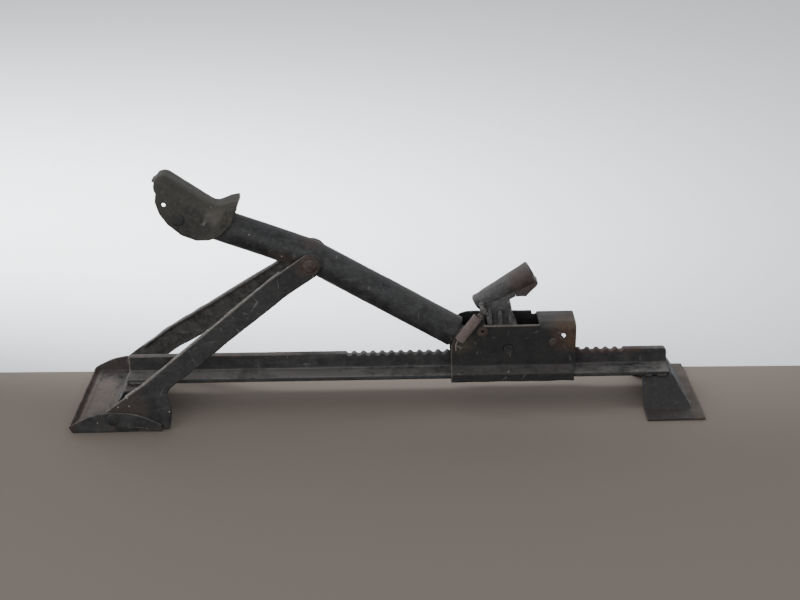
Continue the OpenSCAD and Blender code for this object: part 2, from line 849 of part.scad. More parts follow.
// Cast rocker under the socket: a ribbed stem and a fork round the drive pawl
module rocker() {
    ear_in = 8;
    ear_out = cheek_in - 0.7;
    web_y = 8.6;
    color("#4c4b4b")
        difference() {
            union() {
                slab(-web_y, web_y)
                    stem_outline();
                for (rib = [[38.6, 4.4], [49.6, 4.4], [60.6, 4.2]])
                    slab(-ear_out, ear_out)
                        translate([cx0 + rib[0], 0])
                            polygon([[0, 84], [-1, 99], [1, 103], [rib[1] - 1, 103], [rib[1], 99],
                                [rib[1] + 1, 84]]);
                slab(-ear_out, ear_out) {
                    polygon([[cx0 + 38.9, cheek_z - 0.5], [cx0 + 51.6, 64], [cx0 + 69.2, 64],
                        [cx0 + 71.6, 78], [cx0 + 67.6, cheek_z - 0.5]]);
                    translate(rocker_p)
                        circle(r = 9.4);
                }
            }
            slab(-ear_in, ear_in)
                polygon([[cx0 + 45, 40], [cx0 + 45, 66], [cx0 + 56, 92], [cx0 + 90, 92], [cx0 + 90, 40]]);
            bar_y(rocker_p, 5 + run_gap, -half_w, half_w);
            bar_y(drive_p, 3.5, -half_w, half_w);
            socket_cone(0.02);
        }
}

// Peg cast into the closed end of the socket, which holds the upper loop of the spring
module spring_peg() {
    color("#5a5250") {
        bar_y(spring_top, 2, spring_y - 3.4, -socket_r1 + 2.6);
        bar_y(spring_top, 3.2, spring_y - 4.6, spring_y - 3.2);
        bar_y(spring_top, 3.2, -socket_r1 - 5.6, -socket_r1 + 2.6);
    }
}

// Pin of the drive pawl
module drive_pawl_pin() {
    reach = cheek_in - 0.9;
    color("#55504c")
        bar_y(drive_p, 3.5, -reach, reach);
}

// Flat coil spring round a pawl's pin
module pawl_spring(p, y0) {
    wire = 1.2;
    translate([p.x, y0, p.y])
        rotate([90, 0, 0])
            rotate_extrude()
                polygon([[3.9, 0], [5.2, 0], [5.6, wire / 2], [5.2, wire], [5.6, wire * 1.5],
                    [5.2, wire * 2], [3.9, wire * 2]]);
}

module drive_pawl_spring() {
    color("#6e6360")
        pawl_spring(drive_p, 7.6);
}

// Pawl with a round hub and a hooked tip, between two Y values, with its bore
module pawl(p, tip, y0, y1) {
    l = norm(tip - p);
    dir = (tip - p) / l;
    side = [-dir.y, dir.x];
    difference() {
        union() {
            bar_y(p, 6.4, y0, y1);
            slab(y0, y1)
                polygon([p + 5.5 * side - dir, p + (l - 9) * dir + 5 * side, [tip.x + 1.6, tip.y + 2.4],
                    tip + [0.6, 0], tip + [-2.4, 0], p + (l - 8) * dir - 2.6 * side,
                    p + 8 * dir - 4 * side, p - 5.5 * side - dir]);
        }
        bar_y(p, 3.5 + run_gap, y0 - 1, y1 + 1);
    }
}

// Pawl that pushes the rail back when the handle is pumped
module drive_pawl() {
    color("#4c423c")
        pawl(drive_p, [cx0 + 86.8, pawl_tip_z], -5, 4.6);
}

// Pawl that holds the carriage between strokes
module holding_pawl() {
    color("#4c423c")
        pawl(hold_p, [cx0 + 122.7, pawl_tip_z], -9, 9);
}

module holding_pawl_spring() {
    color("#6e6360")
        pawl_spring(hold_p, 12.6);
}

front_foot();
rail();
rear_foot();
rail_chair();
front_weld_beads();
rear_weld_beads();
leg_pivot_rivets();
near_leg();
far_leg();
leg_bolt();
leg_nut();
leg_washers();
arm_tube();
arm_sleeve();
arm_foot();
arm_foot_pin();
saddle_pin();
saddle();
carriage_shell();
tie_rivet();
tie_spacer();
rocker_pin();
holding_pawl_pin();
spring_hook();
return_spring();
rocker();
handle_socket();
spring_peg();
drive_pawl_pin();
drive_pawl_spring();
drive_pawl();
holding_pawl();
holding_pawl_spring();
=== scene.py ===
"""Looks of the ratchet rail jack: worn black paint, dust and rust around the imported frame."""

import json
import math

import bmesh
import bpy
from mathutils import Matrix, Vector, noise


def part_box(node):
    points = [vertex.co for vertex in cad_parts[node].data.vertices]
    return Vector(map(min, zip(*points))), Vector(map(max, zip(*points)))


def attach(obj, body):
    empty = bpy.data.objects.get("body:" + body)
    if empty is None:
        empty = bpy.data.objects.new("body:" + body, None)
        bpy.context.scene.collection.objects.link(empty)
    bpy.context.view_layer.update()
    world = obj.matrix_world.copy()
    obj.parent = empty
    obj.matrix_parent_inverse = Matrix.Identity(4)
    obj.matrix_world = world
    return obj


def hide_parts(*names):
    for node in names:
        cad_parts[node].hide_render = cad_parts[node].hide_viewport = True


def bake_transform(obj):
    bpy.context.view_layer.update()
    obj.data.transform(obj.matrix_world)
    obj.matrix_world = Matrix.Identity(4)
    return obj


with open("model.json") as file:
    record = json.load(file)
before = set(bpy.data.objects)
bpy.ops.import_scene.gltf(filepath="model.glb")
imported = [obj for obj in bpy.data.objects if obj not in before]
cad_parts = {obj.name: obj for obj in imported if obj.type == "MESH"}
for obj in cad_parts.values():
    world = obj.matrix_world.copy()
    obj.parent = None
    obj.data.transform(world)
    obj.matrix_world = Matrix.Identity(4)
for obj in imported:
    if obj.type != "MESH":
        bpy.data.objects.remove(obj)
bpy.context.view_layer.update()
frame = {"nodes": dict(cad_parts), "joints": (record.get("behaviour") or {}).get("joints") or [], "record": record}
record = frame["record"]
nodes = frame["nodes"]
bodies = record["behaviour"]["bodies"]
body_of_node = {node: body for body, members in bodies.items() for node in members}
slot_of_node = {part["node"]: part["material_slot"] for part in record["subparts"]}
joints = {joint["name"]: joint for joint in frame["joints"]}

MM = 0.001
X, Y, Z = 0, 1, 2
FAR = 1.0  # metres, further out than any piece reaches


# ---------------------------------------------------------------- places that the looks need

def pivot(name):
    """Pivot of a joint, in metres."""
    return Vector(joints[name]["pos_m"])


def moved(point, x, y, z):
    """A point moved by millimetres."""
    return Vector(point) + Vector((x, y, z)) * MM


leg_foot = pivot("leg_fold")
leg_top = pivot("arm_lift")
saddle_rivet = pivot("saddle_tilt")
pawl_pin = pivot("holding_pawl_lift")
socket_mount = next(mount for mount in record["mounts"] if mount["name"] == "handle_bore")
bore_place = Vector(socket_mount["pos_m"])
bore_axis = Vector(socket_mount["axis"])
shell_low, shell_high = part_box("carriage_shell")
rail_low, rail_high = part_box("rail")
front_low, front_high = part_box("front_foot")
rear_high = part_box("rear_foot")[1]
cheek_front = shell_low.x
cheek_top = 88.5 * MM  # top edge of the near cheek


# ---------------------------------------------------------------- small node-tree helper

class Tree:
    """Builds a shader tree with short calls. A value may be a socket, a number or a colour."""

    def __init__(self, material):
        self.tree = material.node_tree
        self.tree.nodes.clear()
        coordinates = self.new("ShaderNodeTexCoord")
        self.place = coordinates.outputs["Object"]
        self.facing = coordinates.outputs["Normal"]

    def new(self, kind, **settings):
        node = self.tree.nodes.new(kind)
        for key, value in settings.items():
            setattr(node, key, value)
        return node

    def put(self, socket, value):
        """Links a socket to an input, or sets the input to a number or a colour."""
        if isinstance(value, bpy.types.NodeSocket):
            self.tree.links.new(value, socket)
        elif socket.type == "RGBA":
            socket.default_value = (*value, 1.0)
        else:
            socket.default_value = value

    def math(self, operation, a, b, clamp=False):
        node = self.new("ShaderNodeMath", operation=operation, use_clamp=clamp)
        self.put(node.inputs[0], a)
        self.put(node.inputs[1], b)
        return node.outputs[0]

    def times(self, a, b):
        return self.math("MULTIPLY", a, b)

    def plus(self, a, b, clamp=False):
        return self.math("ADD", a, b, clamp)

    def ramp(self, value, low, high, start=0.0, end=1.0):
        """Smooth step from start to end as the value goes from low to high."""
        node = self.new("ShaderNodeMapRange", interpolation_type="SMOOTHSTEP")
        self.put(node.inputs["Value"], value)
        self.put(node.inputs["From Min"], low)
        self.put(node.inputs["From Max"], high)
        self.put(node.inputs["To Min"], start)
        self.put(node.inputs["To Max"], end)
        return node.outputs[0]

    def mix(self, factor, a, b):
        node = self.new("ShaderNodeMix", data_type="RGBA")
        self.put(node.inputs["Factor"], factor)
        self.put(node.inputs["A"], a)
        self.put(node.inputs["B"], b)
        return node.outputs["Result"]

    def noise(self, scale, detail, rough, where=None, shift=0.0):
        """A cloudy pattern over the piece. The shift picks another part of the pattern."""
        node = self.new("ShaderNodeTexNoise")
        shifted = self.new("ShaderNodeVectorMath", operation="ADD")
        self.put(shifted.inputs[0], where or self.place)
        shifted.inputs[1].default_value = (shift, shift * 0.7, -shift)
        self.put(node.inputs["Vector"], shifted.outputs[0])
        self.put(node.inputs["Scale"], scale)
        self.put(node.inputs["Detail"], detail)
        self.put(node.inputs["Roughness"], rough)
        return node.outputs[0]

    def warped_place(self, scale, amount):
        """Object coordinates pushed about by a vector noise that is centred on zero."""
        node = self.new("ShaderNodeTexNoise")
        self.put(node.inputs["Vector"], self.place)
        self.put(node.inputs["Scale"], scale)
        centred = self.new("ShaderNodeVectorMath", operation="SUBTRACT")
        self.put(centred.inputs[0], node.outputs["Color"])
        centred.inputs[1].default_value = (0.5, 0.5, 0.5)
        scaled = self.new("ShaderNodeVectorMath", operation="SCALE")
        self.put(scaled.inputs[0], centred.outputs[0])
        scaled.inputs["Scale"].default_value = amount
        warped = self.new("ShaderNodeVectorMath", operation="ADD")
        self.put(warped.inputs[0], self.place)
        self.put(warped.inputs[1], scaled.outputs[0])
        return warped.outputs[0]

    def stretched_place(self, scales, deg):
        """Object coordinates turned in the XZ plane and scaled, for streaks along a part."""
        node = self.new("ShaderNodeMapping")
        self.put(node.inputs["Vector"], self.place)
        node.inputs["Rotation"].default_value = (0, math.radians(deg), 0)
        node.inputs["Scale"].default_value = scales
        return node.outputs[0]

    def cells(self, where, scale, feature="F1"):
        """A pattern of cells around scattered points."""
        node = self.new("ShaderNodeTexVoronoi", feature=feature)
        self.put(node.inputs["Vector"], where)
        self.put(node.inputs["Scale"], scale)
        return node

    def axis(self, vector, index):
        node = self.new("ShaderNodeSeparateXYZ")
        self.put(node.inputs[0], vector)
        return node.outputs[index]

    def spot(self, point, inner, outer):
        """1 near a point, fading to 0 at the outer radius, with a ragged edge."""
        distance = self.new("ShaderNodeVectorMath", operation="DISTANCE")
        self.put(distance.inputs[0], self.place)
        distance.inputs[1].default_value = tuple(point)
        wobble = self.math("SUBTRACT", self.noise(110, 5, 0.65, shift=point[X]), 0.5)
        ragged = self.times(wobble, 0.7 * outer)
        return self.ramp(self.plus(distance.outputs["Value"], ragged), inner, outer, 1.0, 0.0)

    def band(self, coordinate, low, high, soft):
        """1 between two values of a coordinate, fading over the soft distance."""
        rise = self.ramp(coordinate, low - soft, low + soft)
        fall = self.ramp(coordinate, high - soft, high + soft, 1.0, 0.0)
        return self.times(rise, fall)

    def over_line(self, point, deg, low, high):
        """0 up to low and 1 from high over a line that slopes up along X and passes through a point."""
        rad = math.radians(deg)
        height = self.new("ShaderNodeVectorMath", operation="DOT_PRODUCT")
        self.put(height.inputs[0], self.place)
        height.inputs[1].default_value = (-math.sin(rad), 0, math.cos(rad))
        level = -math.sin(rad) * point[X] + math.cos(rad) * point[Z]
        return self.ramp(height.outputs["Value"], level + low, level + high)

    def edge(self, radius):
        """How sharply the surface turns within the radius, for wear on edges."""
        bevel = self.new("ShaderNodeBevel", samples=6)
        self.put(bevel.inputs["Radius"], radius)
        geometry = self.new("ShaderNodeNewGeometry")
        dot = self.new("ShaderNodeVectorMath", operation="DOT_PRODUCT")
        self.put(dot.inputs[0], bevel.outputs[0])
        self.put(dot.inputs[1], geometry.outputs["Normal"])
        return self.ramp(self.math("SUBTRACT", 1.0, dot.outputs["Value"]), 0.03, 0.22)


# ---------------------------------------------------------------- colours, linear

PAINT_DARK = (0.0065, 0.0065, 0.0068)
PAINT_WORN = (0.0165, 0.0160, 0.0152)
TUBE_WORN = (0.021, 0.022, 0.022)
FAR_PAINT = (0.0075, 0.0070, 0.0062)
SADDLE_PAINT = (0.011, 0.0108, 0.0095)
SADDLE_WORN = (0.033, 0.031, 0.026)
CAST_DARK = (0.024, 0.0235, 0.023)
CAST_GREY = (0.052, 0.051, 0.050)
SPRING_MAUVE = (0.090, 0.068, 0.062)
SPRING_WORN = (0.11, 0.085, 0.078)
STEEL_RUSTY = (0.030, 0.0205, 0.0155)
STEEL_WORN = (0.060, 0.044, 0.034)
WELD_DARK = (0.040, 0.036, 0.032)
WELD_WORN = (0.12, 0.105, 0.092)

DUST = (0.152, 0.127, 0.114)
DUST_GREY = (0.090, 0.083, 0.076)
RAIL_DUST = (0.125, 0.116, 0.108)
SADDLE_DUST = (0.084, 0.078, 0.060)
ROCKER_DUST = (0.12, 0.115, 0.105)
SOCKET_DUST = (0.12, 0.112, 0.108)

RUST_DARK = (0.030, 0.0150, 0.0105)
RUST_RED = (0.054, 0.0275, 0.0215)
RUST_ORANGE = (0.098, 0.056, 0.030)
RUST_SOFT = (0.046, 0.0315, 0.027)
OLIVE = (0.056, 0.046, 0.029)
FAR_BROWN = (0.058, 0.043, 0.039)
RIM_BROWN = (0.074, 0.053, 0.032)
SADDLE_BROWN = (0.048, 0.041, 0.031)

BARE_EDGE = (0.190, 0.160, 0.138)
# Pale line colour: worn and dusty edges, and on the near leg's upper lip also a painted highlight
WEAR_AND_HIGHLIGHT_LINE = (0.155, 0.136, 0.118)
# Painted highlight for the saddle horn's shoulder
SHOULDER_HIGHLIGHT = (0.098, 0.092, 0.082)
SCRATCH = (0.17, 0.16, 0.15)
SPECK = (0.42, 0.40, 0.37)


# ---------------------------------------------------------------- old paint

# Scales of the patterns, in features per metre
BROAD_SCALE = 22
PATCH_SCALE = 70
SMALL_SCALE = 260
FINE_SCALE = 1300
STREAK_SCALES = (18, 160, 160)  # along the part, then across it
SPECK_SCALE = 95
SCRATCH_SCALE = 34
SCRATCH_BREAK_SCALE = 95
WARP_SCALE = 30

WARP = 12 * MM
EDGE_RADIUS = 1.3 * MM
BUMP_HEIGHT = 0.9 * MM
STAIN_STRENGTH = 0.5
STREAK_STRENGTH = 0.45
SPECK_STRENGTH = 0.75
SCRATCH_STRENGTH = 0.55


def brighter(colour, factor):
    return tuple(factor * c for c in colour)


def specked(t, colour, share):
    """Pale round specks in a few of the cells."""
    cells = t.cells(t.place, SPECK_SCALE)
    dot = t.ramp(cells.outputs["Distance"], 0.045, 0.085, 1.0, 0.0)
    rare = 0.93 - 0.12 * share
    chosen = t.ramp(t.axis(cells.outputs["Color"], X), rare, rare + 0.02)
    return t.mix(t.times(t.times(dot, chosen), SPECK_STRENGTH), colour, SPECK)


def scratched(t, colour, share, shift):
    """Pale broken lines along the borders of warped cells."""
    cracks = t.cells(t.warped_place(WARP_SCALE, WARP), SCRATCH_SCALE, "DISTANCE_TO_EDGE")
    line = t.ramp(cracks.outputs["Distance"], 0.004, 0.022, 1.0, 0.0)
    breaks = t.noise(SCRATCH_BREAK_SCALE, 4, 0.6, shift=shift + 5.1)
    broken = t.times(line, t.ramp(breaks, 0.60 - 0.12 * share, 0.70))
    return t.mix(t.times(broken, SCRATCH_STRENGTH), colour, SCRATCH)


def aged(name, dust, rust, wear, paint=PAINT_DARK, worn=PAINT_WORN, dust_colour=DUST_GREY, specks=0.5,
         scratches=0.4, gloss=0.45, grain=0.5, lift=1.0, spots=(), streak_deg=None, shift=0.0):
    """Old paint over steel. dust, rust, wear, specks, scratches and gloss are shares from 0 to 1, grain
    scales the bumps, lift makes the paint lighter, spots are (mask maker, colour, strength), streak_deg
    turns streaks in the XZ plane to run along the part, and shift picks other parts of the patterns."""
    paint = brighter(paint, lift)
    worn = brighter(worn, lift)
    material = bpy.data.materials.new(name)
    material.use_nodes = True
    t = Tree(material)
    broad = t.noise(BROAD_SCALE, 4, 0.6, shift=shift)
    patch = t.noise(PATCH_SCALE, 6, 0.62, shift=shift + 1.3)
    small = t.noise(SMALL_SCALE, 5, 0.6, shift=shift + 2.1)
    fine = t.noise(FINE_SCALE, 3, 0.6, shift=shift + 3.7)

    colour = t.mix(t.ramp(patch, 0.35, 0.68), paint, worn)
    colour = t.mix(t.times(t.ramp(small, 0.45, 0.75), STAIN_STRENGTH), colour, brighter(worn, 1.7))
    if streak_deg is not None:
        streaks = t.noise(1.0, 5, 0.6, where=t.stretched_place(STREAK_SCALES, streak_deg), shift=shift)
        colour = t.mix(t.times(t.ramp(streaks, 0.5, 0.72), STREAK_STRENGTH), colour, brighter(worn, 1.9))

    up = t.ramp(t.axis(t.facing, Z), 0.15, 0.95)
    settled = t.times(up, t.ramp(t.plus(broad, t.times(small, 0.35)), 0.42, 0.86))
    clinging = t.ramp(patch, 0.5, 0.9)
    dusty = t.plus(t.times(settled, dust * 1.7), t.times(clinging, dust * 0.22), clamp=True)
    rust_field = t.plus(t.times(broad, 0.6), t.times(patch, 0.55))
    rusty = t.ramp(rust_field, 0.72 - 0.22 * rust, 0.86 - 0.16 * rust)
    rust_colour = t.mix(t.ramp(small, 0.38, 0.66), RUST_DARK, RUST_RED)
    colour = t.mix(t.times(rusty, min(1.0, 0.4 + rust)), colour, rust_colour)
    colour = t.mix(dusty, colour, dust_colour)

    for mask, spot_colour, strength in spots:
        ragged = t.times(mask(t), t.ramp(small, 0.28, 0.62, 0.45, 1.0))
        colour = t.mix(t.times(ragged, strength), colour, spot_colour)
    if wear > 0:
        rubbed = t.ramp(t.plus(patch, small), 0.78, 1.18)
        worn_edge = t.times(t.edge(EDGE_RADIUS), rubbed)
        edge_colour = t.mix(t.ramp(small, 0.4, 0.6), RUST_RED, BARE_EDGE)
        colour = t.mix(t.times(worn_edge, wear), colour, edge_colour)
    if specks > 0:
        colour = specked(t, colour, specks)
    if scratches > 0:
        colour = scratched(t, colour, scratches, shift)

    smoothest = 0.78 - 0.42 * gloss
    roughest = 0.95 - 0.3 * gloss
    paint_roughness = t.ramp(patch, 0.3, 0.75, smoothest, roughest)
    roughness = t.plus(paint_roughness, t.times(t.plus(dusty, rusty), 0.22), clamp=True)
    height = t.plus(t.times(small, 0.55), t.times(fine, 0.22))
    height = t.plus(height, t.times(t.times(rusty, patch), 0.5))
    bump = t.new("ShaderNodeBump")
    t.put(bump.inputs["Strength"], 0.55 * grain)
    t.put(bump.inputs["Distance"], BUMP_HEIGHT)
    t.put(bump.inputs["Height"], height)
    shader = t.new("ShaderNodeBsdfPrincipled")
    t.put(shader.inputs["Base Color"], colour)
    t.put(shader.inputs["Roughness"], roughness)
    t.put(shader.inputs["Normal"], bump.outputs[0])
    shader.inputs["Specular IOR Level"].default_value = 0.42
    shader.inputs["Metallic"].default_value = 0.0
    output = t.new("ShaderNodeOutputMaterial")
    t.put(output.inputs["Surface"], shader.outputs[0])
    return material


# ---------------------------------------------------------------- masks for local rust, dust, wear and painted highlights

def at(point, inner, outer):
    """Round a point, with the radii in millimetres."""
    return lambda t: t.spot(point, inner * MM, outer * MM)


def across(index, low, high, soft):
    """Between two values of an axis, with the soft distance in millimetres."""
    return lambda t: t.band(t.axis(t.place, index), low, high, soft * MM)


def above(height, soft):
    return across(Z, height, FAR, soft)


def ahead_of(x, soft):
    """On the front foot's side of a place along the rail."""
    return across(X, -FAR, x, soft)


def over_line(point, deg, low, high):
    """Over a sloping line, fading in between two distances from it in millimetres."""
    return lambda t: t.over_line(point, deg, low * MM, high * MM)


def both(first, second):
    return lambda t: t.times(first(t), second(t))


# ---------------------------------------------------------------- mesh tools

def new_piece(name, mesh):
    """Links a mesh as a smooth-shaded piece."""
    piece = bpy.data.objects.new(name, mesh)
    bpy.context.scene.collection.objects.link(piece)
    for face in mesh.polygons:
        face.use_smooth = True
    return piece


def evaluated(source, modifiers):
    """Mesh of the source after the modifiers, which are (kind, settings)."""
    work = bpy.data.objects.new("work", source.copy())
    bpy.context.scene.collection.objects.link(work)
    for index, (kind, settings) in enumerate(modifiers):
        modifier = work.modifiers.new(f"step{index}", kind)
        for key, value in settings.items():
            setattr(modifier, key, value)
    graph = bpy.context.evaluated_depsgraph_get()
    mesh = bpy.data.meshes.new_from_object(work.evaluated_get(graph))
    bpy.data.objects.remove(work)
    return mesh


def dent(mesh, amount, size, seed):
    """Pushes points inwards along their normals by a smooth noise, which leaves some of them in place."""
    offset = Vector((seed, -seed, seed * 0.5))
    normals = [vertex.normal.copy() for vertex in mesh.vertices]
    for vertex, normal in zip(mesh.vertices, normals):
        value = noise.noise(vertex.co / size + offset)
        vertex.co -= normal * amount * max(0.0, value + 0.25)


def soften(node, voxel, rounds, dents=0.0, dent_size=22.0, keep=0.35, seed=1.0):
    """Replaces a CAD node with the same shape, its edges rounded as pressing or casting leaves them.
    The voxel, dents and dent_size are in millimetres; keep is the share of faces that stay."""
    mesh = evaluated(nodes[node].data, [
        ("REMESH", {"mode": "VOXEL", "voxel_size": voxel * MM, "use_smooth_shade": True}),
        ("SMOOTH", {"factor": 0.5, "iterations": rounds}),
        ("DECIMATE", {"ratio": keep}),
    ])
    if dents:
        dent(mesh, dents * MM, dent_size * MM, seed)
    piece = new_piece(node + "_skin", mesh)
    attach(piece, body_of_node[node])
    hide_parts(node)
    return piece


def wire_mesh(path, radius, sides):
    """Round wire with closed ends along a path of points."""
    bm = bmesh.new()
    rings = []
    side = (path[1] - path[0]).normalized().orthogonal().normalized()
    for i, point in enumerate(path):
        before = path[max(i - 1, 0)]
        after = path[min(i + 1, len(path) - 1)]
        ahead = (after - before).normalized()
        side = (side - ahead * side.dot(ahead)).normalized()
        other = ahead.cross(side)
        ring = []
        for k in range(sides):
            angle = 2 * math.pi * k / sides
            ring.append(bm.verts.new(point + radius * (math.cos(angle) * side + math.sin(angle) * other)))
        rings.append(ring)
    for a, b in zip(rings, rings[1:]):
        for k in range(sides):
            bm.faces.new((a[k], a[(k + 1) % sides], b[(k + 1) % sides], b[k]))
    bm.faces.new(list(reversed(rings[0])))
    bm.faces.new(rings[-1])
    bmesh.ops.recalc_face_normals(bm, faces=bm.faces)
    mesh = bpy.data.meshes.new("tube")
    bm.to_mesh(mesh)
    bm.free()
    return mesh


# ---------------------------------------------------------------- camera

CAMERA_AT = Vector((14.4, -1454.2, 683.6)) * MM
CAMERA_DOWN_DEG = 21.5
CAMERA_ROLL = 0.017  # radians
LENS_MM = 67.5
SENSOR_MM = 36.0

camera_data = bpy.data.cameras.new("camera")
camera_data.lens = LENS_MM
camera_data.sensor_width = SENSOR_MM
camera = bpy.data.objects.new("camera", camera_data)
bpy.context.scene.collection.objects.link(camera)
tilt = Matrix.Rotation(math.radians(90 - CAMERA_DOWN_DEG), 4, "X")
roll = Matrix.Rotation(-CAMERA_ROLL, 4, "Z")
camera.matrix_world = Matrix.Translation(CAMERA_AT) @ tilt @ roll
bpy.context.scene.camera = camera


# ---------------------------------------------------------------- floor and mat

FLOOR_WHITE = (0.86, 0.865, 0.875)
MAT_TAUPE = (0.205, 0.173, 0.145)
FLOOR_Z = -0.8 * MM
MAT_Z = -0.15 * MM
FLOOR_HALF = 7.0
MAT_HALF = 2.5
MAT_FRONT = -1.4
MAT_REAR = 0.07235  # at X = 0
MAT_REAR_SLOPE = -0.0205722  # rise of the mat's rear edge in Y for each metre of X


def plain_material(name, colour):
    material = bpy.data.materials.new(name)
    material.use_nodes = True
    shader = material.node_tree.nodes["Principled BSDF"]
    shader.inputs["Base Color"].default_value = (*colour, 1.0)
    shader.inputs["Roughness"].default_value = 0.85
    shader.inputs["Specular IOR Level"].default_value = 0.2
    return material


def ground(name, corners, z, material):
    """A flat four-cornered sheet of the stage."""
    mesh = bpy.data.meshes.new(name)
    mesh.from_pydata([(x, y, z) for x, y in corners], [], [(0, 1, 2, 3)])
    mesh.materials.append(material)
    obj = bpy.data.objects.new(name, mesh)
    bpy.context.scene.collection.objects.link(obj)


def four_corners(half, front, rear_left, rear_right):
    return (-half, front), (half, front), (half, rear_right), (-half, rear_left)


floor_corners = four_corners(FLOOR_HALF, -FLOOR_HALF, FLOOR_HALF, FLOOR_HALF)
rear_rise = MAT_HALF * MAT_REAR_SLOPE
mat_corners = four_corners(MAT_HALF, MAT_FRONT, MAT_REAR - rear_rise, MAT_REAR + rear_rise)
ground("floor", floor_corners, FLOOR_Z, plain_material("floor_white", FLOOR_WHITE))
ground("mat", mat_corners, MAT_Z, plain_material("mat_taupe", MAT_TAUPE))


# ---------------------------------------------------------------- light

SKY_WHITE = (0.93, 0.955, 1.0, 1.0)


def area_light(name, place, target, size, watts, colour, spread_deg=180):
    data = bpy.data.lights.new(name, "AREA")
    data.spread = math.radians(spread_deg)
    data.shape = "RECTANGLE"
    data.size, data.size_y = size
    data.energy = watts
    data.color = colour
    lamp = bpy.data.objects.new(name, data)
    bpy.context.scene.collection.objects.link(lamp)
    lamp.location = place
    lamp.rotation_euler = (Vector(target) - Vector(place)).to_track_quat("-Z", "Y").to_euler()


area_light("window", place=(-1.7, -0.3, 2.1), target=(0, 0, 0.1), size=(2.6, 2.2),
           watts=9, colour=(1.0, 0.985, 0.965))
area_light("front_fill", place=(-0.6, -2.4, 0.95), target=(0, 0, 0.05), size=(3.0, 1.2),
           watts=38, colour=(0.99, 0.985, 0.99))
# Lights the floor behind the mat. Its narrower spread keeps it off the mat, where the rail would shade it.
area_light("back_glow", place=(-0.8, 0.4, 0.7), target=(-0.5, 1.5, 0), size=(1.8, 0.5),
           watts=50, colour=(0.94, 0.965, 1.0), spread_deg=155)

world = bpy.data.worlds.new("world")
bpy.context.scene.world = world
world.use_nodes = True
sky = world.node_tree
direction = sky.nodes.new("ShaderNodeSeparateXYZ")
sky.links.new(sky.nodes.new("ShaderNodeTexCoord").outputs["Generated"], direction.inputs[0])


def sky_ramp(axis_name, low, high, start, end):
    """Goes from start to end as the direction's part along an axis goes from low to high."""
    node = sky.nodes.new("ShaderNodeMapRange")
    node.inputs["From Min"].default_value = low
    node.inputs["From Max"].default_value = high
    node.inputs["To Min"].default_value = start
    node.inputs["To Max"].default_value = end
    sky.links.new(direction.outputs[axis_name], node.inputs["Value"])
    return node.outputs[0]


brighter_behind = sky_ramp("Y", -0.8, 0.7, 0.5, 1.25)
dimmer_overhead = sky_ramp("Z", 0.1, 0.8, 1.5, 0.5)
strength = sky.nodes.new("ShaderNodeMath")
strength.operation = "MULTIPLY"
sky.links.new(brighter_behind, strength.inputs[0])
sky.links.new(dimmer_overhead, strength.inputs[1])
sky.links.new(strength.outputs[0], sky.nodes["Background"].inputs["Strength"])
sky.nodes["Background"].inputs["Color"].default_value = SKY_WHITE


# ---------------------------------------------------------------- pieces: softened sheet and castings

SKINS = {
    "front_foot": dict(voxel=0.9, rounds=4, dents=0.9, dent_size=16, keep=0.4, seed=3.1),
    "rear_foot": dict(voxel=0.9, rounds=5, dents=0.7, dent_size=20, seed=5.2),
    "rail": dict(voxel=0.85, rounds=4, keep=0.25),
    "rail_chair": dict(voxel=0.9, rounds=3, dents=0.5, dent_size=14, seed=2.2),
    "near_leg": dict(voxel=0.8, rounds=4, dents=0.8, dent_size=18, seed=7.3),
    "far_leg": dict(voxel=0.8, rounds=4, dents=0.8, dent_size=18, seed=9.4),
    "carriage_shell": dict(voxel=0.75, rounds=4, dents=0.7, dent_size=20, seed=11.5),
    "rocker": dict(voxel=0.6, rounds=6, dents=0.5, dent_size=6, keep=0.4, seed=13.6),
    "handle_socket": dict(voxel=0.6, rounds=5, dents=0.5, dent_size=6, keep=0.4, seed=14.6),
    "front_weld_beads": dict(voxel=0.35, rounds=3, dents=0.4, dent_size=2, keep=0.3, seed=1.7),
    "rear_weld_beads": dict(voxel=0.35, rounds=3, dents=0.4, dent_size=2, keep=0.3, seed=1.8),
    "leg_pivot_rivets": dict(voxel=0.35, rounds=4, dents=0.25, dent_size=3, keep=0.4),
    "leg_bolt": dict(voxel=0.4, rounds=4, dents=0.4, dent_size=3, keep=0.4),
    "leg_nut": dict(voxel=0.35, rounds=4, dents=0.3, dent_size=3, keep=0.4),
    "leg_washers": dict(voxel=0.4, rounds=2, dents=0.2, dent_size=4, keep=0.4),
    "saddle_pin": dict(voxel=0.4, rounds=4, dents=0.2, dent_size=3, keep=0.4),
    "saddle": dict(voxel=0.8, rounds=10, dents=0.6, dent_size=24, keep=0.4, seed=15.7),
    "arm_tube": dict(voxel=0.8, rounds=4, dents=0.35, dent_size=30, seed=17.8),
    "arm_foot": dict(voxel=0.6, rounds=6, dents=0.4, dent_size=6, keep=0.4),
    "tie_rivet": dict(voxel=0.3, rounds=3, dents=0.2, dent_size=3, keep=0.4),
    "rocker_pin": dict(voxel=0.35, rounds=3, dents=0.2, dent_size=3, keep=0.4),
    "holding_pawl_pin": dict(voxel=0.3, rounds=3, dents=0.2, dent_size=3, keep=0.4),
    "spring_peg": dict(voxel=0.3, rounds=3, dents=0.2, dent_size=3, keep=0.4),
    "drive_pawl": dict(voxel=0.4, rounds=5, dents=0.3, dent_size=4, keep=0.4),
    "holding_pawl": dict(voxel=0.4, rounds=5, dents=0.3, dent_size=4, keep=0.4),
}
pieces = {node: soften(node, **settings) for node, settings in SKINS.items()}


# ---------------------------------------------------------------- return spring

WIRE_R = 0.8 * MM
COIL_R = 5.3 * MM - WIRE_R  # to the middle of the wire
PEG_LOOP_R = 2.1 * MM + WIRE_R
TURN_PITCH = 2.05 * WIRE_R
FIRST_TURN = 6.5 * MM  # from the hook to the first turn
LAST_TURN = 7.5 * MM  # from the last turn to the peg
HOOK_BOW = 1.5 * MM
STEPS_PER_TURN = 20
LOOP_STEPS = 15
LOOP_STEP_DEG = 24
WIRE_SIDES = 8


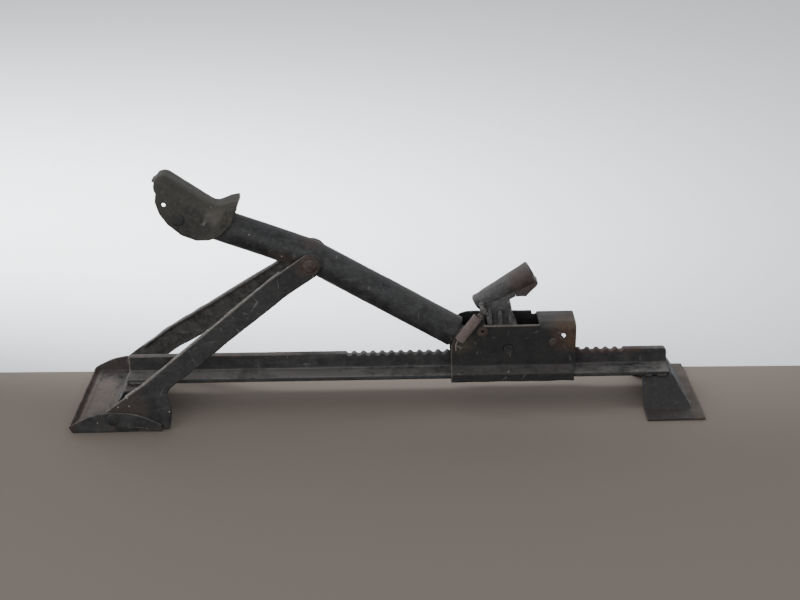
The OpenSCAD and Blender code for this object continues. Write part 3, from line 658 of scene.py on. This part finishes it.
def spring():
    """Wound tension spring between the hook on the cheek and the peg on the socket."""
    low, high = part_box("return_spring")
    hook_low, hook_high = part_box("spring_hook")
    peg_low, peg_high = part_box("spring_peg")
    y = (low.y + high.y) / 2
    foot = Vector((hook_low.x + WIRE_R, y, hook_high.z))
    peg = Vector(((peg_low.x + peg_high.x) / 2, y, (peg_low.z + peg_high.z) / 2))
    span = (peg - foot).length
    ahead = (peg - foot).normalized()
    sideways = Vector((0, 1, 0))
    other = ahead.cross(sideways)

    wound = span - LAST_TURN - FIRST_TURN
    turns = int(wound / TURN_PITCH)
    steps = turns * STEPS_PER_TURN
    coil = []
    for i in range(steps + 1):
        angle = 2 * math.pi * i / STEPS_PER_TURN
        middle = foot + ahead * (FIRST_TURN + wound * i / steps)
        coil.append(middle + COIL_R * (math.cos(angle) * sideways + math.sin(angle) * other))

    lead_in = []
    for share in (0.0, 0.2, 0.4, 0.6, 0.8):
        bow = -HOOK_BOW * math.sin(math.pi * share)
        lead_in.append(foot + (coil[0] - foot) * share + ahead * bow)
    loop_start = peg - ahead * PEG_LOOP_R
    lead_out = [coil[-1] + (loop_start - coil[-1]) * share for share in (0.25, 0.5, 0.75)]
    loop = []
    for k in range(LOOP_STEPS):
        angle = math.radians(180 + LOOP_STEP_DEG * k)
        loop.append(peg + PEG_LOOP_R * (math.cos(angle) * ahead + math.sin(angle) * other))

    wire = wire_mesh(lead_in + coil + lead_out + loop, WIRE_R, WIRE_SIDES)
    piece = new_piece("return_spring_wire", wire)
    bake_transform(piece)
    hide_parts("return_spring")
    return piece


pieces["return_spring"] = spring()


# ---------------------------------------------------------------- local rust, dust, wear and painted highlights

LEG_SLOPE_DEG = 35.6
LEG_STREAK_DEG = -34.8
TUBE_STREAK_DEG = 26
SADDLE_SLOPE_DEG = -35.5

# Where the marks lie
rail_crests = above(rail_high.z - 1 * MM, 0.5)
rail_teeth = above(rail_high.z - 4.5 * MM, 1.5)
rail_ahead = ahead_of(-90 * MM, 20)
rail_behind = across(X, 190 * MM, 270 * MM, 8)
rail_tip = ahead_of(rail_low.x + 1.6 * MM, 0.8)
far_flange = across(Y, front_high.y - 9 * MM, FAR, 1.5)
front_lip = across(X, front_low.x, front_low.x + 6 * MM, 1.5)
foot_rim = across(Z, -FAR, 3.2 * MM, 1.2)
rear_rim = across(X, rear_high.x - 11 * MM, FAR, 2.5)
along_socket = bore_place + 16 * MM * bore_axis
near_side = across(Y, -FAR, 0.0, 2)
cheek_rim = across(Z, cheek_top - 1.3 * MM, cheek_top + 1 * MM, 0.5)
cheek_middle = across(X, cheek_front + 34 * MM, cheek_front + 92 * MM, 1)
cheek_tip = ahead_of(cheek_front + 1.3 * MM, 0.6)
hood_corner = (shell_high.x - 4 * MM, -14 * MM, shell_high.z - 16 * MM)
cheek_corner = (cheek_front + 10 * MM, -21 * MM, 70 * MM)
pawl_head = (pawl_pin.x + 6 * MM, -20 * MM, pawl_pin.z)

RAIL_SPOTS = [
    (both(rail_crests, rail_ahead), WEAR_AND_HIGHLIGHT_LINE, 0.6),
    (both(rail_teeth, rail_behind), RUST_RED, 0.7),
    (rail_tip, WEAR_AND_HIGHLIGHT_LINE, 0.85),
]
FRONT_FOOT_SPOTS = [
    (far_flange, FAR_BROWN, 0.8),
    (front_lip, RUST_DARK, 0.8),
]
REAR_FOOT_SPOTS = [
    (foot_rim, RUST_SOFT, 0.7),
    (rear_rim, RIM_BROWN, 0.75),
]
NEAR_LEG_SPOTS = [
    (at(moved(leg_top, -6, -20, 0), 6, 16), RUST_SOFT, 0.8),
    (at(moved(leg_foot, 14, -70, 12), 10, 28), RUST_SOFT, 0.8),
    # The pale band over the near leg's upper lip is partly dust and partly a painted highlight of the lit lip
    (over_line(leg_top, LEG_SLOPE_DEG, 10.4, 11.6), WEAR_AND_HIGHLIGHT_LINE, 0.9),
]
FAR_LEG_SPOTS = [
    (at(moved(leg_top, 0, 20, 10), 8, 22), RUST_SOFT, 0.9),
    (over_line(leg_top, LEG_SLOPE_DEG, 15.2, 16.4), OLIVE, 0.7),
]
TUBE_SPOTS = [
    (at(moved(leg_top, -30, -14, -2), 8, 22), RUST_SOFT, 0.75),
    (at(moved(leg_top, 2, -4, 22), 6, 15), RUST_SOFT, 0.75),
]
SADDLE_SPOTS = [
    # Painted highlight on the horn's shoulder
    (at(moved(saddle_rivet, 36, -18, 2), 3, 13), SHOULDER_HIGHLIGHT, 0.7),
    (over_line(moved(saddle_rivet, 0, 0, 24), SADDLE_SLOPE_DEG, 0.0, 8), SADDLE_BROWN, 0.5),
]
SHELL_SPOTS = [
    (at(hood_corner, 8, 30), RUST_ORANGE, 0.6),
    (at(cheek_corner, 6, 18), OLIVE, 0.55),
    (at(pawl_head, 4, 12), RUST_RED, 0.5),
    (both(near_side, both(cheek_rim, cheek_middle)), WEAR_AND_HIGHLIGHT_LINE, 0.9),
    (both(near_side, cheek_tip), WEAR_AND_HIGHLIGHT_LINE, 0.5),
]
SOCKET_SPOTS = [
    (at(moved(along_socket, 0, -10, -2), 8, 24), RUST_RED, 0.6),
]


# ---------------------------------------------------------------- materials

black = aged("black_paint", dust=0.25, rust=0.2, wear=0.55, lift=1.3)
MATERIALS = {
    "rail": aged("rail_paint", dust=0.8, dust_colour=RAIL_DUST, rust=0.25, wear=0.75, specks=0.3,
                 lift=1.9, streak_deg=0.0, shift=0.2, spots=RAIL_SPOTS),
    "front_foot": aged("front_foot_paint", dust=0.75, dust_colour=DUST, rust=0.5, wear=0.95,
                       specks=1.0, scratches=0.8, lift=1.8, shift=0.9, spots=FRONT_FOOT_SPOTS),
    "rail_chair": aged("chair_paint", dust=0.85, dust_colour=DUST, rust=0.5, wear=0.6, lift=1.8,
                       shift=1.9),
    "rear_weld_beads": black,
    "rear_foot": aged("rear_foot_paint", dust=0.15, rust=0.15, wear=0.8, specks=0.7, scratches=0.8,
                      gloss=0.55, shift=2.9, spots=REAR_FOOT_SPOTS),
    "near_leg": aged("near_leg_paint", dust=0.3, rust=0.15, wear=0.9, specks=0.9, scratches=0.9,
                     gloss=0.5, lift=1.6, streak_deg=LEG_STREAK_DEG, shift=3.9, spots=NEAR_LEG_SPOTS),
    # The far leg is the near leg's twin; its much larger lift paints light onto its shaded inner side
    "far_leg": aged("far_leg_paint", paint=FAR_PAINT, dust=0.5, rust=0.3, wear=0.8, specks=0.4,
                    lift=4.2, streak_deg=LEG_STREAK_DEG, shift=4.9, spots=FAR_LEG_SPOTS),
    "arm_tube": aged("tube_paint", worn=TUBE_WORN, dust=0.25, rust=0.18, wear=0.4, specks=0.35,
                     gloss=0.6, lift=1.45, streak_deg=TUBE_STREAK_DEG, shift=5.9, spots=TUBE_SPOTS),
    "saddle": aged("saddle_paint", paint=SADDLE_PAINT, worn=SADDLE_WORN, dust=0.4,
                   dust_colour=SADDLE_DUST, rust=0.12, wear=0.8, specks=0.1, scratches=0.1,
                   gloss=0.5, lift=1.25, shift=6.9, spots=SADDLE_SPOTS),
    "carriage_shell": aged("carriage_paint", dust=0.4, rust=0.12, wear=0.95, specks=1.0, gloss=0.5,
                           lift=0.85, shift=7.9, spots=SHELL_SPOTS),
    "rocker": aged("rocker_cast", paint=CAST_DARK, worn=CAST_GREY, dust=0.5, dust_colour=ROCKER_DUST,
                   rust=0.2, wear=0.6, specks=0.1, gloss=0.5, grain=1.0, lift=1.35, shift=8.9),
    "handle_socket": aged("socket_cast", paint=CAST_DARK, worn=CAST_GREY, dust=0.5,
                          dust_colour=SOCKET_DUST, rust=0.2, wear=0.5, specks=0.1, gloss=0.5,
                          grain=1.0, lift=1.3, shift=9.2, spots=SOCKET_SPOTS),
}
BY_SLOT = {
    "black_paint": black,
    "dusty_paint": MATERIALS["front_foot"],
    "rail_steel": MATERIALS["rail"],
    "cast_grey": MATERIALS["rocker"],
    "rusty_steel": aged("rusty_steel", paint=STEEL_RUSTY, worn=STEEL_WORN, dust=0.35, rust=0.3,
                        wear=0.4, specks=0.0, gloss=0.3, grain=1.0, shift=10.5),
    "spring_steel": aged("spring_steel", paint=SPRING_MAUVE, worn=SPRING_WORN, dust=0.3, rust=0.3,
                         wear=0.0, specks=0.0, gloss=0.5, grain=0.6, lift=1.5, shift=9.5),
    "weld": aged("weld_metal", paint=WELD_DARK, worn=WELD_WORN, dust=0.4, rust=0.3, wear=0.3,
                 specks=0.0, grain=1.0, shift=11.5),
}


def paint(obj, material):
    obj.data.materials.clear()
    obj.data.materials.append(material)


for node, cad_object in nodes.items():
    paint(cad_object, BY_SLOT[slot_of_node[node]])
for node, piece in pieces.items():
    paint(piece, MATERIALS.get(node, BY_SLOT[slot_of_node[node]]))
